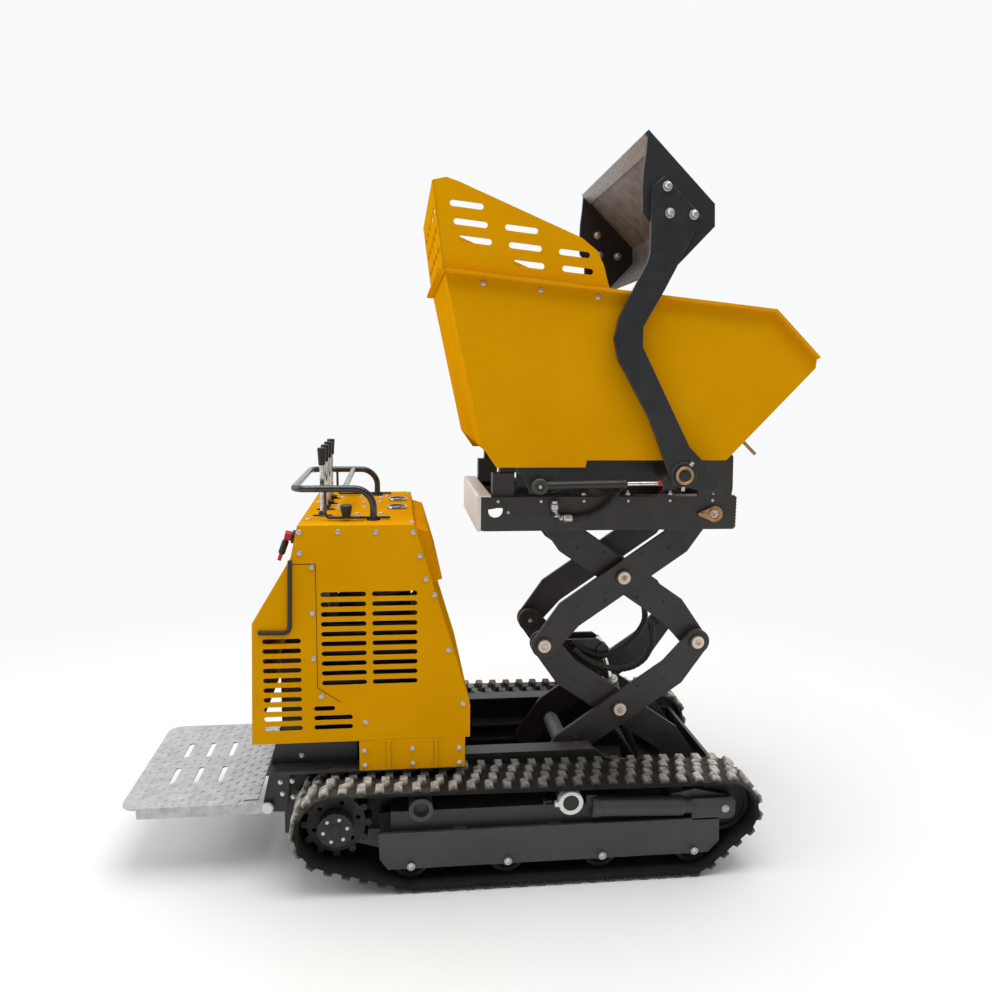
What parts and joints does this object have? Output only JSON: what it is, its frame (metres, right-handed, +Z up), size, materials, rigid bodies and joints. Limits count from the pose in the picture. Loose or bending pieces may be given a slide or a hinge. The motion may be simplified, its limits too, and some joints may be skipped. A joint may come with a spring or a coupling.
{
  "type": "power wheelbarrow",
  "caption": "Tracked power wheelbarrow with engine console, two-stage scissor lift, tipping skip and self-loading bucket arms.",
  "frame": {"origin": "middle of the bounding box at ground level, under the track lugs", "axes": "+X forward, the way the skip tips; +Y to the left of the machine; +Z up"},
  "size_m": [2.086, 0.9, 2.228],
  "materials": {
    "amber_paint": "gloss",
    "black_paint": "satin",
    "arm_paint": "satin",
    "track_rubber": "matt, dusty",
    "guard_paint": "satin",
    "cast_wheel": "rough",
    "galvanised": "checker plate",
    "cream_paint": "gloss",
    "bucket_steel": "worn",
    "chrome_rod": "polished",
    "black_plastic": "satin",
    "dial_face": "gloss",
    "engine_casting": "rough",
    "hose_rubber": "spiral wrapped",
    "key_plastic": "gloss"
  },
  "bodies": {
    "chassis": {"chassis_floor": "black_paint", "chassis_rail_left": "black_paint", "chassis_rail_right": "black_paint", "engine_deck": "amber_paint", "track_left": "track_rubber", "track_right": "track_rubber", "track_frame_left": "guard_paint", "track_frame_right": "guard_paint", "console_hood": "amber_paint", "console_panel_left": "amber_paint", "console_panel_right": "amber_paint", "power_pack": "engine_casting", "handlebar": "black_paint", "gauge_left": "dial_face", "gauge_right": "dial_face", "isolator_body": "black_plastic", "hose_lower": "hose_rubber"},
    "lower_inner": {"lower_inner_arms": "arm_paint", "hose_loop": "hose_rubber"},
    "lower_outer": {"lower_outer_arms": "arm_paint"},
    "upper_outer": {"upper_outer_arms": "arm_paint"},
    "upper_inner": {"upper_inner_arms": "arm_paint"},
    "deck": {"deck": "black_paint", "deck_bumper": "cream_paint", "hose_deck": "hose_rubber"},
    "lift_barrel": {"lift_barrel": "black_paint"},
    "lift_rod": {"lift_rod": "chrome_rod"},
    "skip": {"skip_tub": "amber_paint", "skip_guard": "amber_paint", "skip_frame": "black_paint"},
    "tip_barrel": {"tip_barrel": "black_paint"},
    "tip_rod": {"tip_rod": "chrome_rod"},
    "loader": {"loader_arm_left": "black_paint", "loader_arm_right": "black_paint", "bucket": "bucket_steel"},
    "loader_barrel_left": {"loader_barrel_left": "black_paint"},
    "loader_barrel_right": {"loader_barrel_right": "black_paint"},
    "loader_rod_left": {"loader_rod_left": "chrome_rod"},
    "loader_rod_right": {"loader_rod_right": "chrome_rod"},
    "platform": {"platform": "galvanised"},
    "sprocket_left": {"drive_sprocket_left": "cast_wheel"},
    "idler_left": {"idler_left": "cast_wheel"},
    "road_roller_1_left": {"road_roller_1_left": "cast_wheel"},
    "road_roller_2_left": {"road_roller_2_left": "cast_wheel"},
    "road_roller_3_left": {"road_roller_3_left": "cast_wheel"},
    "road_roller_4_left": {"road_roller_4_left": "cast_wheel"},
    "sprocket_right": {"drive_sprocket_right": "cast_wheel"},
    "idler_right": {"idler_right": "cast_wheel"},
    "road_roller_1_right": {"road_roller_1_right": "cast_wheel"},
    "road_roller_2_right": {"road_roller_2_right": "cast_wheel"},
    "road_roller_3_right": {"road_roller_3_right": "cast_wheel"},
    "road_roller_4_right": {"road_roller_4_right": "cast_wheel"},
    "lever_1": {"lever_1": "chrome_rod"},
    "lever_2": {"lever_2": "chrome_rod"},
    "lever_3": {"lever_3": "chrome_rod"},
    "lever_4": {"lever_4": "chrome_rod"},
    "throttle": {"throttle": "black_plastic"},
    "choke_handle": {"choke_handle": "black_plastic"},
    "stop_handle": {"stop_handle": "black_plastic"},
    "isolator_key": {"isolator_key": "key_plastic"}
  },
  "joints": [
    {"name": "lift", "type": "hinge", "parent": "chassis", "child": "lower_inner", "pos_m": [0.793, 0, 0.222], "axis": [0, 1, 0], "range_deg": [-28, 0], "deforming": ["hose_lower"]},
    {"name": "lift_lower_outer", "type": "hinge", "parent": "lower_inner", "child": "lower_outer", "pos_m": [0.533, 0, 0.447], "axis": [0, 1, 0], "range_deg": [-0.1, 56.1], "deforming": ["hose_loop"]},
    {"name": "lift_upper_outer", "type": "hinge", "parent": "lower_inner", "child": "upper_outer", "pos_m": [0.273, 0, 0.672], "axis": [0, 1, 0], "range_deg": [-0.1, 56.1]},
    {"name": "lift_upper_inner", "type": "hinge", "parent": "upper_outer", "child": "upper_inner", "pos_m": [0.533, 0, 0.897], "axis": [0, 1, 0], "range_deg": [-56.1, 0.1]},
    {"name": "deck_level", "type": "hinge", "parent": "upper_outer", "child": "deck", "pos_m": [0.793, 0, 1.122], "axis": [0, 1, 0], "range_deg": [-28.1, 0.1]},
    {"name": "lift_ram_swing", "type": "hinge", "parent": "chassis", "child": "lift_barrel", "pos_m": [0.633, 0, 0.17], "axis": [0, 1, 0], "range_deg": [-30.77, 0.1]},
    {"name": "lift_ram_stroke", "type": "slide", "parent": "lift_barrel", "child": "lift_rod", "axis": [-0.2883, 0, 0.9575], "range_m": [-0.07917, 0.0002]},
    {"name": "skip_tip", "type": "hinge", "parent": "deck", "child": "skip", "pos_m": [0.8, 0, 1.262], "axis": [0, 1, 0], "range_deg": [0, 75]},
    {"name": "tip_ram_swing", "type": "hinge", "parent": "deck", "child": "tip_barrel", "pos_m": [0.115, 0, 1.13], "axis": [0, 1, 0], "range_deg": [-16.26, 0.1]},
    {"name": "tip_ram_stroke", "type": "slide", "parent": "tip_barrel", "child": "tip_rod", "axis": [0.9682, 0, 0.2502], "range_m": [-0.0002, 0.24555]},
    {"name": "loader_swing", "type": "hinge", "parent": "skip", "child": "loader", "pos_m": [0.631, 0, 1.264], "axis": [0, -1, 0], "range_deg": [-135, 0]},
    {"name": "loader_ram_swing_left", "type": "hinge", "parent": "skip", "child": "loader_barrel_left", "pos_m": [0.206, 0.403, 1.231], "axis": [0, -1, 0], "range_deg": [-0.1, 9.72]},
    {"name": "loader_ram_stroke_left", "type": "slide", "parent": "loader_barrel_left", "child": "loader_rod_left", "axis": [0.9998, 0, 0.0184], "range_m": [-0.0002, 0.06457]},
    {"name": "loader_ram_swing_right", "type": "hinge", "parent": "skip", "child": "loader_barrel_right", "pos_m": [0.206, -0.403, 1.231], "axis": [0, -1, 0], "range_deg": [-0.1, 9.72]},
    {"name": "loader_ram_stroke_right", "type": "slide", "parent": "loader_barrel_right", "child": "loader_rod_right", "axis": [0.9998, 0, 0.0184], "range_m": [-0.0002, 0.06457]},
    {"name": "platform_fold", "type": "hinge", "parent": "chassis", "child": "platform", "pos_m": [-0.603, 0, 0.224], "axis": [0, 1, 0], "range_deg": [0, 72]},
    {"name": "sprocket_left_spin", "type": "hinge", "parent": "chassis", "child": "sprocket_left", "pos_m": [-0.392, 0.36, 0.205], "axis": [0, 1, 0], "continuous": true},
    {"name": "idler_left_spin", "type": "hinge", "parent": "chassis", "child": "idler_left", "pos_m": [0.814, 0.36, 0.212], "axis": [0, 1, 0], "continuous": true},
    {"name": "road_roller_1_left_spin", "type": "hinge", "parent": "chassis", "child": "road_roller_1_left", "pos_m": [-0.168, 0.36, 0.082], "axis": [0, 1, 0], "continuous": true},
    {"name": "road_roller_2_left_spin", "type": "hinge", "parent": "chassis", "child": "road_roller_2_left", "pos_m": [0.126, 0.36, 0.082], "axis": [0, 1, 0], "continuous": true},
    {"name": "road_roller_3_left_spin", "type": "hinge", "parent": "chassis", "child": "road_roller_3_left", "pos_m": [0.42, 0.36, 0.082], "axis": [0, 1, 0], "continuous": true},
    {"name": "road_roller_4_left_spin", "type": "hinge", "parent": "chassis", "child": "road_roller_4_left", "pos_m": [0.714, 0.36, 0.082], "axis": [0, 1, 0], "continuous": true},
    {"name": "sprocket_right_spin", "type": "hinge", "parent": "chassis", "child": "sprocket_right", "pos_m": [-0.392, -0.36, 0.205], "axis": [0, 1, 0], "continuous": true},
    {"name": "idler_right_spin", "type": "hinge", "parent": "chassis", "child": "idler_right", "pos_m": [0.814, -0.36, 0.212], "axis": [0, 1, 0], "continuous": true},
    {"name": "road_roller_1_right_spin", "type": "hinge", "parent": "chassis", "child": "road_roller_1_right", "pos_m": [-0.168, -0.36, 0.082], "axis": [0, 1, 0], "continuous": true},
    {"name": "road_roller_2_right_spin", "type": "hinge", "parent": "chassis", "child": "road_roller_2_right", "pos_m": [0.126, -0.36, 0.082], "axis": [0, 1, 0], "continuous": true},
    {"name": "road_roller_3_right_spin", "type": "hinge", "parent": "chassis", "child": "road_roller_3_right", "pos_m": [0.42, -0.36, 0.082], "axis": [0, 1, 0], "continuous": true},
    {"name": "road_roller_4_right_spin", "type": "hinge", "parent": "chassis", "child": "road_roller_4_right", "pos_m": [0.714, -0.36, 0.082], "axis": [0, 1, 0], "continuous": true},
    {"name": "lever_1_swing", "type": "hinge", "parent": "chassis", "child": "lever_1", "pos_m": [-0.433, -0.188, 1.084], "axis": [0, 1, 0], "range_deg": [-14, 14], "stiffness_Nm_per_rad": 3},
    {"name": "lever_2_swing", "type": "hinge", "parent": "chassis", "child": "lever_2", "pos_m": [-0.433, -0.063, 1.084], "axis": [0, 1, 0], "range_deg": [-14, 14], "stiffness_Nm_per_rad": 3},
    {"name": "lever_3_swing", "type": "hinge", "parent": "chassis", "child": "lever_3", "pos_m": [-0.433, 0.063, 1.084], "axis": [0, 1, 0], "range_deg": [-14, 14], "stiffness_Nm_per_rad": 3},
    {"name": "lever_4_swing", "type": "hinge", "parent": "chassis", "child": "lever_4", "pos_m": [-0.433, 0.188, 1.084], "axis": [0, 1, 0], "range_deg": [-14, 14], "stiffness_Nm_per_rad": 3},
    {"name": "throttle_swing", "type": "hinge", "parent": "chassis", "child": "throttle", "pos_m": [-0.355, -0.29, 1.044], "axis": [0, 1, 0], "range_deg": [-22, 22]},
    {"name": "choke_handle_pull", "type": "slide", "parent": "chassis", "child": "choke_handle", "axis": [0, 0, 1], "range_m": [0, 0.02]},
    {"name": "stop_handle_pull", "type": "slide", "parent": "chassis", "child": "stop_handle", "axis": [0, 0, 1], "range_m": [0, 0.02]},
    {"name": "isolator_key_turn", "type": "hinge", "parent": "chassis", "child": "isolator_key", "pos_m": [-0.5057, -0.2, 1.047], "axis": [-0.9766, 0, 0.2149], "range_deg": [-90, 0]}
  ],
  "couplings": [
    {"joint": "lift_lower_outer", "follows": "lift", "ratio": -2},
    {"joint": "lift_upper_outer", "follows": "lift", "ratio": -2},
    {"joint": "lift_upper_inner", "follows": "lift", "ratio": 2},
    {"joint": "deck_level", "follows": "lift", "ratio": 1},
    {"joint": "lift_ram_swing", "follows": "lift", "ratio": 1.0954},
    {"joint": "lift_ram_stroke", "follows": "lift", "m_per_rad": 0.1616},
    {"joint": "tip_ram_swing", "follows": "skip_tip", "ratio": -0.21551},
    {"joint": "tip_ram_stroke", "follows": "skip_tip", "m_per_rad": 0.18743},
    {"joint": "loader_ram_swing_left", "follows": "loader_swing", "ratio": -0.071264},
    {"joint": "loader_ram_stroke_left", "follows": "loader_swing", "m_per_rad": -0.027319},
    {"joint": "loader_ram_swing_right", "follows": "loader_swing", "ratio": -0.071264},
    {"joint": "loader_ram_stroke_right", "follows": "loader_swing", "m_per_rad": -0.027319},
    {"joint": "idler_left_spin", "follows": "sprocket_left_spin", "ratio": 1.2273},
    {"joint": "road_roller_1_left_spin", "follows": "sprocket_left_spin", "ratio": 1.9286},
    {"joint": "road_roller_2_left_spin", "follows": "sprocket_left_spin", "ratio": 1.9286},
    {"joint": "road_roller_3_left_spin", "follows": "sprocket_left_spin", "ratio": 1.9286},
    {"joint": "road_roller_4_left_spin", "follows": "sprocket_left_spin", "ratio": 1.9286},
    {"joint": "idler_right_spin", "follows": "sprocket_right_spin", "ratio": 1.2273},
    {"joint": "road_roller_1_right_spin", "follows": "sprocket_right_spin", "ratio": 1.9286},
    {"joint": "road_roller_2_right_spin", "follows": "sprocket_right_spin", "ratio": 1.9286},
    {"joint": "road_roller_3_right_spin", "follows": "sprocket_right_spin", "ratio": 1.9286},
    {"joint": "road_roller_4_right_spin", "follows": "sprocket_right_spin", "ratio": 1.9286}
  ]
}
